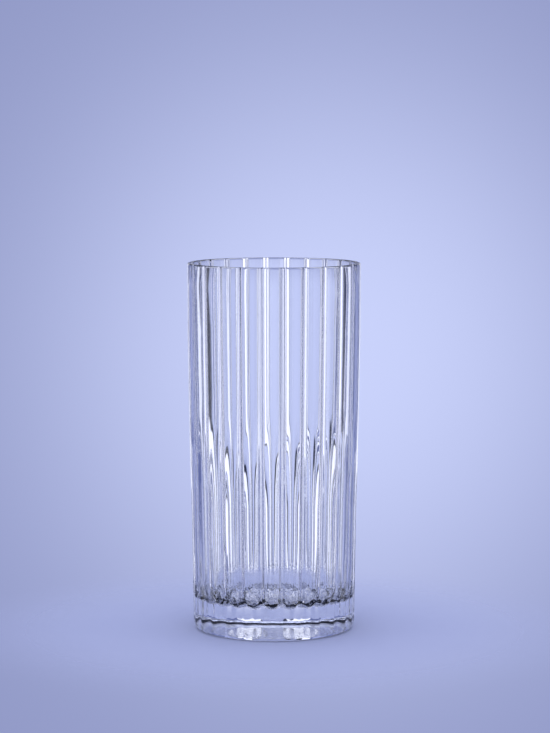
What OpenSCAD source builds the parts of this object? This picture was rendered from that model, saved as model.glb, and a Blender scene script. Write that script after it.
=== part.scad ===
// Straight-sided pressed drinking glass, in millimetres, standing on z = 0 and centred on the Z axis.
// It is one piece of glass: a thick solid base, a thinner wall that widens a little to the rim,
// flutes down the whole inside, and flutes around the lower half of the outside.

/* [Body] */
// Height from the table to the rim
glass_h = 145; // [110:1:180]
// Outside diameter of the upright band below the rim
rim_d = 68; // [62:0.5:76]
// Outside diameter at the foot, before the flutes are cut
foot_d = 64; // [60:0.5:67]
// Height of the upright band below the rim
band_h = 27; // [10:1:45]
// Rounding of the outer edge of the foot
foot_round = 1.4; // [0.8:0.1:2.4]

/* [Inside] */
// Thickness of the wall at the rim, on the crests between the inner flutes
rim_wall = 2.6; // [2.2:0.1:3.6]
// Thickness of the solid base under the middle of the floor
base_t = 13; // [8:0.5:20]
// Thickness of the wall at the level of the floor, on the crests, measured from the foot's diameter
floor_wall = 4.6; // [4:0.1:6.5]
// Rounding between the floor and the crests
floor_round = 6; // [4:0.5:9]

/* [Inner flutes] */
// Number of flutes around the inside
inner_flutes = 24; // [20:1:28]
// Depth of an inner flute behind the crests
inner_depth = 1.1; // [0.7:0.05:1.4]
// Radius of the round-bottomed inner flute at the level of the floor
inner_r = 6.6; // [5.5:0.1:8]
// Rounding at the lower end of an inner flute
inner_end_round = 7; // [5:0.5:9]
// How far the lower end of an inner flute dips below the floor
inner_dip = 0.4; // [0.2:0.05:1]
// Turn of the crests between the inner flutes, in degrees
inner_turn = 5.85; // [0:0.05:15]

/* [Outer flutes] */
// Number of flutes around the outside
outer_flutes = 24; // [20:1:28]
// Depth of an outer flute at its middle
outer_depth = 1.6; // [1:0.05:1.9]
// Radius of the round-bottomed outer flute at its top
outer_r = 9; // [7:0.1:12]
// Height of the tops of the outer flutes
arch_h = 66; // [50:1:90]
// Turn of the crests between the outer flutes, in degrees
outer_turn = 5.85; // [0:0.05:15]

/* [Underside] */
// Width of the flat ring that the glass stands on
ring_w = 5.5; // [4:0.1:9]
// Depth of the round hollow inside the ring
hollow_depth = 1.2; // [0.6:0.1:2.5]

/* [Hidden] */
$fn = 96;
// Flat steps that stand for a small rounding where the flutes cross it
round_steps = 6;
// How far each cutting shape runs past the face that it cuts
overrun = 3;

// Outside wall: it tapers from the foot up to the band
taper_h = glass_h - band_h;
taper = atan((rim_d - foot_d) / 2 / taper_h);
function outer_x(z) = foot_d / 2 + z * tan(taper);

// Inside wall, on the crests: it widens from the floor to the rim
mouth_x = rim_d / 2 - rim_wall;
floor_x = foot_d / 2 - floor_wall;
draft = atan((mouth_x - floor_x) / (glass_h - base_t));
function inner_x(z) = floor_x + (z - base_t) * tan(draft);

// Foot edge: a rounding that touches the table and the tapered wall
foot_cx = outer_x(foot_round) - foot_round / cos(taper);

// Rim: a circle that touches the upright band and the inside wall
rim_r = rim_wall / (1 + 1 / cos(draft) - tan(draft));
rim_cx = rim_d / 2 - rim_r;
rim_cz = glass_h - rim_r;

// Floor corner: a circle that touches the floor and the inside wall
floor_cz = base_t + floor_round;
floor_cx = inner_x(floor_cz) - floor_round / cos(draft);

// Hollow under the base: part of a large ball
hollow_x = foot_cx - ring_w;
hollow_r = (pow(hollow_x, 2) + pow(hollow_depth, 2)) / 2 / hollow_depth;

// Flute cutters are cones that point down to the Z axis, so that neighbours always meet in one crest.
// The first value is a cone's radius as a share of its distance from the Z axis.
inner_share = inner_r / (inner_x(base_t) + inner_depth - inner_r);
outer_share = outer_r / (outer_x(arch_h) - outer_depth + outer_r);

// Points of a quarter circle from straight down to the side, in flat steps
function round_points(cx, cz, r, end_angle) = [
    for (k = [0:round_steps])
        let (a = -90 + k * (90 + end_angle) / round_steps)
            [cx + r * cos(a), cz + r * sin(a)]
];

// Half section of the glass before any flute, right of the Z axis
module half_section() {
    foot_points = round_points(foot_cx, foot_round, foot_round, -taper);
    difference() {
        union() {
            polygon(concat([[0, 0]], foot_points, [
                [rim_d / 2, taper_h],
                [rim_d / 2, rim_cz],
                [rim_cx - rim_r * cos(draft), rim_cz + rim_r * sin(draft)],
                [floor_cx + floor_round * cos(draft), floor_cz - floor_round * sin(draft)],
                [floor_cx, base_t],
                [0, base_t]
            ]));
            translate([rim_cx, rim_cz]) rotate(-90) circle(rim_r);
        }
        translate([floor_cx, floor_cz]) rotate(90) circle(floor_round);
        translate([0, hollow_depth - hollow_r]) circle(hollow_r, $fn = 360);
    }
}

// Cone along a leaning line, from distance x0 at height z0 to distance x1 at height z1
module leaning_cone(x0, z0, x1, z1, share) {
    translate([x0, 0, z0])
        rotate([0, atan((x1 - x0) / (z1 - z0)), 0])
            cylinder(h = norm([x1 - x0, z1 - z0]), r1 = share * x0, r2 = share * x1);
}

// Copies of a cutter around the Z axis, with a crest between two of them at the given turn
module ring_of(count, turn) {
    for (i = [0:count - 1])
        rotate([0, 0, turn + (i + 0.5) * 360 / count]) children();
}

// Cutter for one inner flute: it leans with the inside wall, past the floor and past the rim
module inner_cutter() {
    function axis_x(z) = (inner_x(z) + inner_depth) / (1 + inner_share);
    low = base_t - overrun;
    high = glass_h + overrun;
    leaning_cone(axis_x(low), low, axis_x(high), high, inner_share);
}

// Space that the inner flutes stay in: it rounds their lower ends and stops them below the floor
module inner_space() {
    end_z = base_t - inner_dip + inner_end_round;
    end_x = inner_x(end_z) + inner_depth - inner_end_round;
    rotate_extrude()
        polygon(concat(
            [[0, base_t - inner_dip]],
            round_points(end_x, end_z, inner_end_round, 0),
            [[rim_d / 2 + overrun, glass_h + overrun], [0, glass_h + overrun]]
        ));
}

// Cutter for the straight part of one outer flute: it leans with the outside wall
module outer_cutter() {
    function axis_x(z) = (outer_x(z) - outer_depth) / (1 - outer_share);
    low = -overrun;
    high = arch_h;
    leaning_cone(axis_x(low), low, axis_x(high), high, outer_share);
}

// The glass itself
module tumbler() {
    color([0.86, 0.89, 0.98, 0.4])
        difference() {
            rotate_extrude() half_section();
            intersection() {
                ring_of(inner_flutes, inner_turn) inner_cutter();
                inner_space();
            }
            ring_of(outer_flutes, outer_turn) outer_cutter();
        }
}

tumbler();
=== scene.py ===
import math
import bpy
import bmesh
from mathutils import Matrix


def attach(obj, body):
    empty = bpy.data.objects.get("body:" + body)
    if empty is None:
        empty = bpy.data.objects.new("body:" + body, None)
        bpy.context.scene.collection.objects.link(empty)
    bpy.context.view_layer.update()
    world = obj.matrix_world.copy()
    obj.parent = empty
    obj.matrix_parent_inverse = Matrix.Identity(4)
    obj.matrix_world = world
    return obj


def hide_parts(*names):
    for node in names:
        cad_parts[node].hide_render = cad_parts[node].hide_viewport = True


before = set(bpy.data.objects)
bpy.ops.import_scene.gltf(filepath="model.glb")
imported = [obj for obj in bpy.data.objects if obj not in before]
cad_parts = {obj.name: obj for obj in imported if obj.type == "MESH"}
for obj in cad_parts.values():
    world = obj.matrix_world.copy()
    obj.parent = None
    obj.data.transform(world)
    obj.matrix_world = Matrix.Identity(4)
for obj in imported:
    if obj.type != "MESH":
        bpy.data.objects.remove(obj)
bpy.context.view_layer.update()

# Camera
# A long lens, a little higher than the rim, looks slightly down on the glass, as a catalogue
# photograph does. It stands a metre off, so the rim is a thin ellipse and the foot a fuller one.
camera_distance = 1.03
camera_height = 0.208
camera_side = 0.0004
camera_pitch = math.radians(5.77)
focal_pixels = 2627
frame_height_pixels = 733
sensor_mm = 36.0

camera_data = bpy.data.cameras.new("camera")
camera_data.sensor_width = sensor_mm
camera_data.lens = focal_pixels / frame_height_pixels * sensor_mm
camera = bpy.data.objects.new("camera", camera_data)
camera.location = (camera_side, -camera_distance, camera_height)
camera.rotation_euler = (math.pi / 2 - camera_pitch, 0, 0)
bpy.context.scene.collection.objects.link(camera)
bpy.context.scene.camera = camera

# Glass
# One piece of clear pressed soda-lime glass: a thick base, a thinner wall, flutes down the whole
# inside with a thin rib on each crest, and flutes with pointed tops around the lower outside. A
# sheet is rolled into the half section and pressed to the flutes, as mould and plunger do it.
mm = 0.001
glass_h = 145 * mm
rim_radius = 34 * mm
foot_radius = 32 * mm
band_h = 27 * mm
rim_wall = 1.5 * mm
base_t = 13 * mm
floor_radius = 29.9 * mm
floor_round = 6 * mm

# The edge of the foot, and the ring and the hollow of the underside
foot_edge = 31.7 * mm
foot_round = 2.2 * mm
foot_slope = 0.5
foot_blend = 0.25 * mm
ring_w = 5.5 * mm
hollow_depth = 1.2 * mm

# Inner flutes: they deepen below deep_z, and their round ends dip below the floor.
flutes_in = 24
depth_in = 0.31 * mm
depth_low = 0.8 * mm
deep_z = 40 * mm
crest_in = 0.1 * mm
rib_h = 0.55 * mm
rib_half_w = 1.3 * mm
end_dip = 1.2 * mm
dip_fade = 3
turn_in = math.radians(5.85)

# Outer flutes: they run out into pointed tops over the last arch_run below arch_top.
flutes_out = 26
depth_out = 0.62 * mm
radius_out = 20 * mm
crest_out = 0.5 * mm
arch_top = 73 * mm
arch_run = 20 * mm
turn_out = math.radians(-91 + 180 / flutes_out)

# Rings of points along the half section. Their heights, in millimetres, crowd where the outer
# flutes run out into their tops, and where the inner flutes deepen towards the floor.
hollow_rings = 5
foot_rings = 8
rim_rings = 10
corner_rings = 14
floor_rings = 8
ring_shares = (1 / 3, 2 / 3)
outer_levels = [2.2, 2.6, 3.1, 3.8, 5, 8, 14, 22, 30, 38, 45, 50]
outer_levels += [51.5 + 1.1 * k for k in range(24)]
outer_levels += [79 + 2 * k for k in range(7)]
outer_levels += [100, 110, 117, 118, 119, 128, 137]
inner_levels = [135, 115, 95, 75, 58, 46, 41, 38, 35, 32.5, 30, 28, 26, 24, 22]
steps_per_flute = 35
crest_crowding = 0.4
merge_distance = 0.001 * mm

taper_h = glass_h - band_h
rim_round = rim_wall / 2
hollow_radius = foot_edge - foot_round - ring_w
pitch_in = 2 * math.pi / flutes_in
pitch_out = 2 * math.pi / flutes_out


def outer_radius(z):
    """Radius of the outside before its flutes, which widens up to the band below the rim."""
    return foot_radius + (rim_radius - foot_radius) * min(z / taper_h, 1)


def inner_radius(z):
    """Radius of the inside at the deepest line of a flute."""
    return floor_radius + (rim_radius - rim_wall - floor_radius) * (z - base_t) / (glass_h - base_t)


def from_middle(angle, turn, pitch):
    """Angle from the middle line of the nearest flute."""
    return abs((angle - turn) % pitch - pitch / 2)


def smooth_least(a, b, width):
    """The smaller of two radii, rounded over a width where they cross."""
    overlap = max(width - abs(a - b), 0) / width
    return min(a, b) - overlap * overlap * width / 4


def outer_pressed(angle, z):
    """Outer radius after the flutes are pressed in, and after the edge of the foot is rounded."""
    wall = outer_radius(z)
    depth = depth_out * max(min((arch_top - z) / arch_run, 1), -1)
    if depth > -crest_out:
        centre = wall - depth + radius_out
        off = from_middle(angle, turn_out, pitch_out)

        def groove(a):
            inside = radius_out ** 2 - (centre * math.sin(a)) ** 2
            return centre * math.cos(a) - math.sqrt(max(inside, 0))
        flutes = smooth_least(groove(off), groove(pitch_out - off), crest_out)
        wall = smooth_least(wall, flutes, crest_out)
    if z > foot_round:
        edge = foot_edge + (z - foot_round) * foot_slope
    else:
        edge = foot_edge - foot_round + foot_round * math.sin(math.acos(1 - z / foot_round))
    return smooth_least(wall, edge, foot_blend)


def inner_pressed(angle, z):
    """Inner radius after the flutes and the ribs between them are pressed in."""
    bottom = inner_radius(z)
    low = min(max((deep_z - z) / (deep_z - base_t), 0), 1)
    depth = depth_in + (depth_low - depth_in) * low ** 2
    half = math.sin(pitch_in / 2) * bottom
    radius = (half ** 2 + depth ** 2) / (2 * depth)
    centre = bottom - radius
    off = from_middle(angle, turn_in, pitch_in)

    def groove(a):
        return centre * math.cos(a) + math.sqrt(radius ** 2 - (centre * math.sin(a)) ** 2)
    flutes = -smooth_least(-groove(off), -groove(pitch_in - off), crest_in)
    from_crest = min((pitch_in / 2 - off) * bottom / rib_half_w, 1)
    return flutes - rib_h * (1 + math.cos(math.pi * from_crest)) / 2


def section_points():
    """Half section, from the middle of the underside round to the middle of the floor.

    Each point has the name of its part, and two numbers that pressed() reads for that part: a
    radius and a height, or the cosine and sine round the rim, or the angle round the floor's
    corner, or the share of the floor's radius.
    """
    points = []
    for k in range(hollow_rings + 1):
        share = k / hollow_rings
        points.append((hollow_radius * share, hollow_depth * (1 - share ** 2), "under"))
    for share in ring_shares:
        points.append((hollow_radius + ring_w * share, 0, "under"))
    for k in range(foot_rings):
        points.append((0, foot_round * (1 - math.cos(math.pi / 2 * k / foot_rings)), "outer"))
    for level in outer_levels:
        points.append((0, level * mm, "outer"))
    for k in range(rim_rings + 1):
        a = math.pi * k / rim_rings
        points.append((math.cos(a), math.sin(a), "rim"))
    for level in inner_levels:
        points.append((0, level * mm, "inner"))
    for k in range(corner_rings + 1):
        points.append((0, math.pi / 2 * k / corner_rings, "corner"))
    for k in range(1, floor_rings):
        points.append((1 - k / floor_rings, 0, "floor"))
    points.append((0, base_t, "middle"))
    return points


def pressed(angle, r, z, part):
    """Place of a section point at an angle round the axis, as radius and height."""
    if part == "outer":
        return outer_pressed(angle, z), z
    if part == "rim":
        low = glass_h - rim_round
        outside, inside = outer_radius(low), inner_pressed(angle, low)
        return (outside + inside) / 2 + (outside - inside) / 2 * r, low + rim_round * z
    if part == "inner":
        return inner_pressed(angle, z), z
    if part in ("corner", "floor"):
        corner_z = base_t + floor_round
        off = from_middle(angle, turn_in, pitch_in) / (pitch_in / 2)
        dip = end_dip * (1 - off ** 2)
        edge = inner_pressed(angle, corner_z) - floor_round
        if part == "corner":
            return edge + floor_round * math.cos(z), corner_z - (floor_round + dip) * math.sin(z)
        return edge * r, base_t - dip * max(1 - (1 - r) * dip_fade, 0)
    return r, z


section = section_points()
section_steps = len(section) - 1
turns = flutes_in * steps_per_flute
mesh = bmesh.new()
bmesh.ops.create_grid(mesh, x_segments=turns, y_segments=section_steps, size=1)
for point in mesh.verts:
    # The sheet runs from -1 to 1 both ways: round the axis along x, and along the section on y.
    step = round((point.co.x + 1) / 2 * turns)
    r, z, part = section[round((point.co.y + 1) / 2 * section_steps)]
    # Steps crowd towards the ribs, where the surface turns fastest.
    angle = step / turns * 2 * math.pi
    crowd = crest_crowding * pitch_in / (2 * math.pi)
    angle += turn_in - crowd * math.sin(2 * math.pi * angle / pitch_in)
    r, z = pressed(angle, r, z, part)
    point.co = (r * math.cos(angle), r * math.sin(angle), z)
bmesh.ops.remove_doubles(mesh, verts=mesh.verts[:], dist=merge_distance)
bmesh.ops.recalc_face_normals(mesh, faces=mesh.faces[:])
for face in mesh.faces:
    face.smooth = True
glass_mesh = bpy.data.meshes.new("tumbler_glass")
mesh.to_mesh(glass_mesh)
mesh.free()
tumbler = bpy.data.objects.new("tumbler_glass", glass_mesh)
bpy.context.scene.collection.objects.link(tumbler)

# The mould leaves the underside stippled, so that the glass slides out, and the plunger leaves a
# fine grain where it chilled the glass at the lower ends of the inner flutes. Each zone fades in
# from its first value to its second.
stipple_scale = 1200
stipple_depth = 0.4 * mm
stipple_below = (1.7 * mm, 1.4 * mm)
stipple_within = (30.2 * mm, 29.4 * mm)
grain_scale = 700
grain_share = 0.45
grain_below = (22 * mm, 19 * mm)
grain_above = (9.5 * mm, 11 * mm)
grain_beyond = (20.5 * mm, 23.5 * mm)
grain_within = (30.8 * mm, 29.8 * mm)
glass_tint = (0.985, 0.99, 1.0)
glass_ior = 1.52

glass = bpy.data.materials.new("clear_pressed_glass")
glass.use_nodes = True
glass_nodes = glass.node_tree.nodes
glass_links = glass.node_tree.links
shader = glass_nodes["Principled BSDF"]
place = glass_nodes.new("ShaderNodeTexCoord")
xyz = glass_nodes.new("ShaderNodeSeparateXYZ")
glass_links.new(place.outputs["Object"], xyz.inputs[0])
level_xy = glass_nodes.new("ShaderNodeCombineXYZ")
glass_links.new(xyz.outputs["X"], level_xy.inputs[0])
glass_links.new(xyz.outputs["Y"], level_xy.inputs[1])
from_axis = glass_nodes.new("ShaderNodeVectorMath")
from_axis.operation = "LENGTH"
glass_links.new(level_xy.outputs[0], from_axis.inputs[0])
up = xyz.outputs["Z"]
out = from_axis.outputs["Value"]


def marks(scale, zones):
    """Height of fine marks that stand only where all their zones meet."""
    cells = glass_nodes.new("ShaderNodeTexVoronoi")
    cells.inputs["Scale"].default_value = scale
    glass_links.new(place.outputs["Object"], cells.inputs["Vector"])
    relief = cells.outputs["Distance"]
    for source, (start, end) in zones:
        zone = glass_nodes.new("ShaderNodeMapRange")
        zone.inputs["From Min"].default_value = start
        zone.inputs["From Max"].default_value = end
        glass_links.new(source, zone.inputs["Value"])
        product = glass_nodes.new("ShaderNodeMath")
        product.operation = "MULTIPLY"
        glass_links.new(relief, product.inputs[0])
        glass_links.new(zone.outputs[0], product.inputs[1])
        relief = product.outputs[0]
    return relief


stipple = marks(stipple_scale, [(up, stipple_below), (out, stipple_within)])
grain_zones = [(up, grain_below), (up, grain_above), (out, grain_beyond), (out, grain_within)]
grain = marks(grain_scale, grain_zones)
surface = glass_nodes.new("ShaderNodeMath")
surface.operation = "MULTIPLY_ADD"
glass_links.new(grain, surface.inputs[0])
surface.inputs[1].default_value = grain_share
glass_links.new(stipple, surface.inputs[2])
bump = glass_nodes.new("ShaderNodeBump")
bump.inputs["Distance"].default_value = stipple_depth
glass_links.new(surface.outputs[0], bump.inputs["Height"])
glass_links.new(bump.outputs[0], shader.inputs["Normal"])
shader.inputs["Base Color"].default_value = (*glass_tint, 1)
shader.inputs["Roughness"].default_value = 0.0
shader.inputs["IOR"].default_value = glass_ior
shader.inputs["Transmission Weight"].default_value = 1.0
glass_mesh.materials.append(glass)
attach(tumbler, "root")
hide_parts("tumbler")

# Floor
# A plain pale lavender table top that takes the glass's soft shadow near the foot, and fades into
# the backdrop with no visible line.
table_radius = 2.0
table_sides = 64
table_colour = (0.59, 0.605, 0.70)
fade_start = 0.035
fade_end = 0.14

bpy.ops.mesh.primitive_circle_add(vertices=table_sides, radius=table_radius, fill_type="NGON")
table = bpy.context.object
table.name = "table"
table_paint = bpy.data.materials.new("table_paint")
table_paint.use_nodes = True
table_nodes = table_paint.node_tree.nodes
table_links = table_paint.node_tree.links
table_nodes.clear()
diffuse = table_nodes.new("ShaderNodeBsdfDiffuse")
diffuse.inputs[0].default_value = (*table_colour, 1)
clear = table_nodes.new("ShaderNodeBsdfTransparent")
table_place = table_nodes.new("ShaderNodeTexCoord")
from_foot = table_nodes.new("ShaderNodeVectorMath")
from_foot.operation = "LENGTH"
table_links.new(table_place.outputs["Object"], from_foot.inputs[0])
fade = table_nodes.new("ShaderNodeMapRange")
fade.interpolation_type = "SMOOTHSTEP"
fade.inputs["From Min"].default_value = fade_start
fade.inputs["From Max"].default_value = fade_end
table_links.new(from_foot.outputs["Value"], fade.inputs["Value"])
mix = table_nodes.new("ShaderNodeMixShader")
table_links.new(fade.outputs[0], mix.inputs[0])
table_links.new(diffuse.outputs[0], mix.inputs[1])
table_links.new(clear.outputs[0], mix.inputs[2])
table_out = table_nodes.new("ShaderNodeOutputMaterial")
table_links.new(mix.outputs[0], table_out.inputs[0])
table.data.materials.append(table_paint)

# Studio light
# A lavender backdrop with a soft glow stands behind the glass. At its sides come a narrow dark gap,
# a white panel and then grey-blue cloth, and the ring repeats every quarter turn, so the flutes
# have light and dark edges from all sides. The ceiling is one wide soft light.
glow_centre = (1.2, -5.52)
glow_width = 6.54
glow_power = 2.3
glow_bright = (0.591, 0.651, 0.973)
glow_edge = (0.279, 0.314, 0.559)
night = (0.0012, 0.0018, 0.007)
cloth = (0.107, 0.133, 0.332)
sheen = (0.376, 0.423, 0.752)
panel = (1.15, 1.19, 1.4)
ceiling = (0.9, 1.0, 1.5)

# All angles are in degrees. A stop is where a colour of the ring begins, and it lasts to the next.
ceiling_start = 32
ceiling_full = 48
quarter = 90
window_half = 5.2
edge_soft = 0.5
stops = [(-36, sheen), (-27, cloth), (-18.5, panel), (-8.5, night)]
stops += [(8.5, panel), (18.5, cloth), (27, sheen), (36, cloth)]
in_degrees = 180 / math.pi

world = bpy.data.worlds.new("studio")
bpy.context.scene.world = world
world.use_nodes = True
studio_nodes = world.node_tree.nodes
studio_links = world.node_tree.links
studio_nodes.clear()


def joined(node, values):
    """First output of a node, after its inputs take numbers or the outputs of other nodes."""
    for socket, value in zip(node.inputs, values):
        if isinstance(value, (int, float)):
            socket.default_value = value
        else:
            studio_links.new(value, socket)
    return node.outputs[0]


def calc(operation, *values):
    node = studio_nodes.new("ShaderNodeMath")
    node.operation = operation
    return joined(node, values)


def step_at(value, start, end):
    """A step from 0 to 1 as the value goes from start to end."""
    node = studio_nodes.new("ShaderNodeMapRange")
    return joined(node, (value, start, end))


def blended(share, first, second):
    """A colour that goes from the first to the second with the share."""
    node = studio_nodes.new("ShaderNodeMix")
    node.data_type = "RGBA"
    studio_links.new(share, node.inputs[0])
    # Inputs 6 and 7 are the two colours of a Mix node, and output 2 is their mixture.
    for socket, colour in ((node.inputs[6], first), (node.inputs[7], second)):
        if isinstance(colour, tuple):
            socket.default_value = (*colour, 1)
        else:
            studio_links.new(colour, socket)
    return node.outputs[2]


direction = studio_nodes.new("ShaderNodeTexCoord")
way = studio_nodes.new("ShaderNodeSeparateXYZ")
studio_links.new(direction.outputs["Generated"], way.inputs[0])
azimuth = calc("MULTIPLY", calc("ARCTAN2", way.outputs["X"], way.outputs["Y"]), in_degrees)
azimuth = calc("WRAP", azimuth, quarter / 2, -quarter / 2)
elevation = calc("MULTIPLY", calc("ARCSINE", way.outputs["Z"]), in_degrees)
sides = cloth
for degrees, colour in stops:
    sides = blended(step_at(azimuth, degrees - edge_soft, degrees + edge_soft), sides, colour)
aside = calc("SUBTRACT", azimuth, glow_centre[0])
above = calc("SUBTRACT", elevation, glow_centre[1])
squares = calc("ADD", calc("MULTIPLY", aside, aside), calc("MULTIPLY", above, above))
fall = calc("POWER", calc("DIVIDE", calc("SQRT", squares), glow_width), glow_power)
glow_share = calc("EXPONENT", calc("MULTIPLY", fall, -1.0))
glow = blended(glow_share, glow_edge, glow_bright)
in_window = step_at(calc("ABSOLUTE", azimuth), window_half + edge_soft, window_half)
ring = blended(in_window, sides, glow)
ring = blended(step_at(elevation, ceiling_start, ceiling_full), ring, ceiling)
path = studio_nodes.new("ShaderNodeLightPath")
seen = blended(path.outputs["Is Camera Ray"], ring, glow)
studio = studio_nodes.new("ShaderNodeBackground")
studio_links.new(seen, studio.inputs[0])
studio_out = studio_nodes.new("ShaderNodeOutputWorld")
studio_links.new(studio.outputs[0], studio_out.inputs[0])

# Light passes through both walls and the base many times before it leaves the glass.
glass_bounces = 24
mirror_bounces = 12
scene = bpy.context.scene
scene.view_settings.view_transform = "Standard"
scene.cycles.max_bounces = glass_bounces
scene.cycles.transmission_bounces = glass_bounces
scene.cycles.glossy_bounces = mirror_bounces
